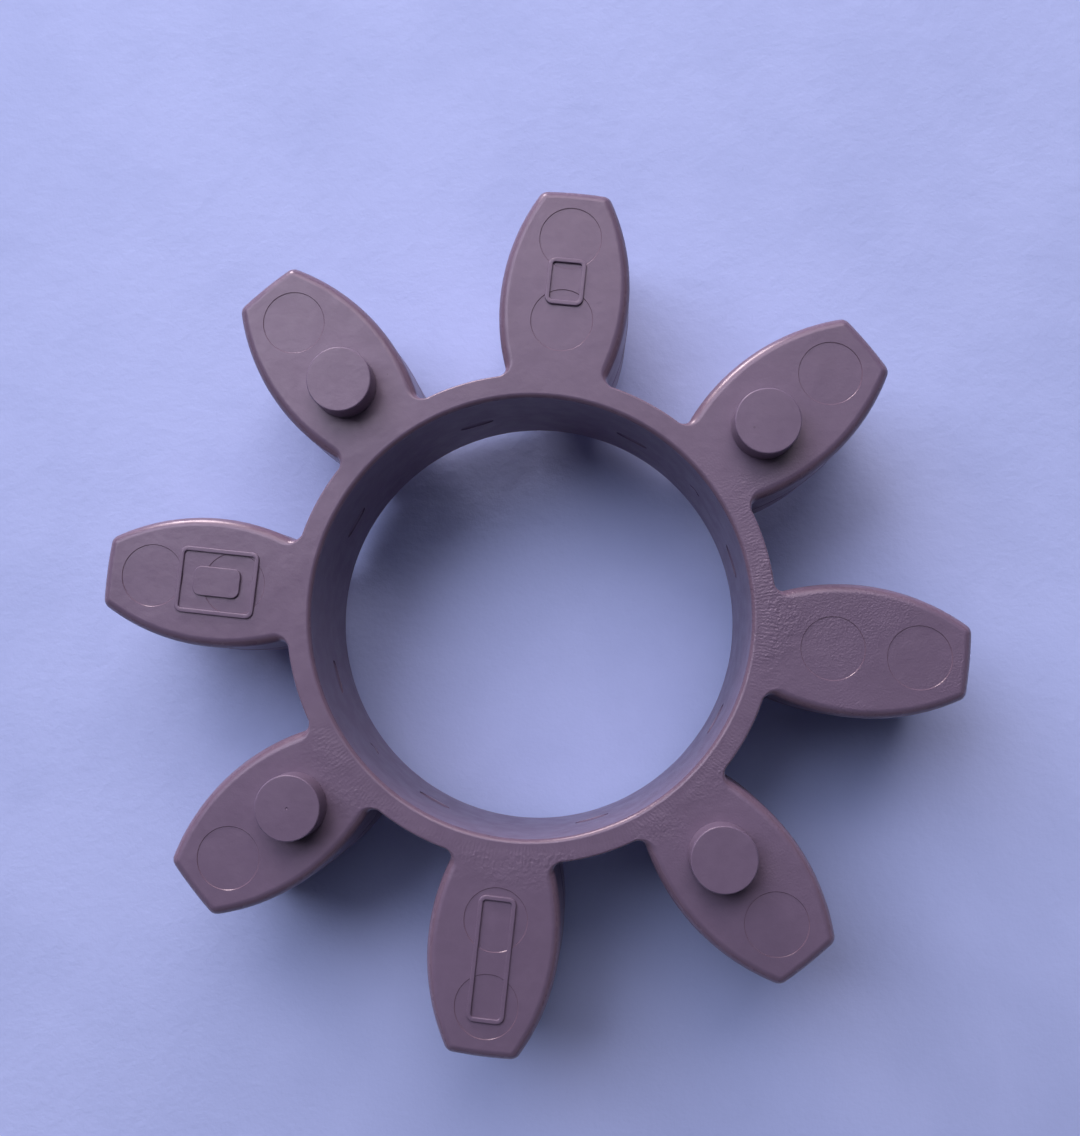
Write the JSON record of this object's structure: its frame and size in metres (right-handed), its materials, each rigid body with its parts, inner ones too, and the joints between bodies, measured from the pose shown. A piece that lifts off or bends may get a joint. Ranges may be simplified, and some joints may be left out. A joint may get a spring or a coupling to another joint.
{
  "type": "jaw coupling spider",
  "caption": "Elastomer spider for a jaw coupling: a thin ring round an open bore, legs with bulging sides, and round spacer pads on alternate legs of each face.",
  "frame": {"origin": "centre of the bore, half way through the ring's thickness", "axes": "+Z along the bore, out of the face whose pads are on the even legs; +X along leg_1"},
  "size_m": [0.135, 0.135, 0.0344],
  "materials": {
    "urethane": "satin"
  },
  "bodies": {
    "root": {"ring": "urethane", "leg_1": "urethane", "leg_2": "urethane", "leg_3": "urethane", "leg_4": "urethane", "leg_5": "urethane", "leg_6": "urethane", "leg_7": "urethane", "leg_8": "urethane", "spacer_pad_top_1": "urethane", "spacer_pad_top_2": "urethane", "spacer_pad_top_3": "urethane", "spacer_pad_top_4": "urethane", "spacer_pad_bottom_1": "urethane", "spacer_pad_bottom_2": "urethane", "spacer_pad_bottom_3": "urethane", "spacer_pad_bottom_4": "urethane"}
  },
  "joints": []
}
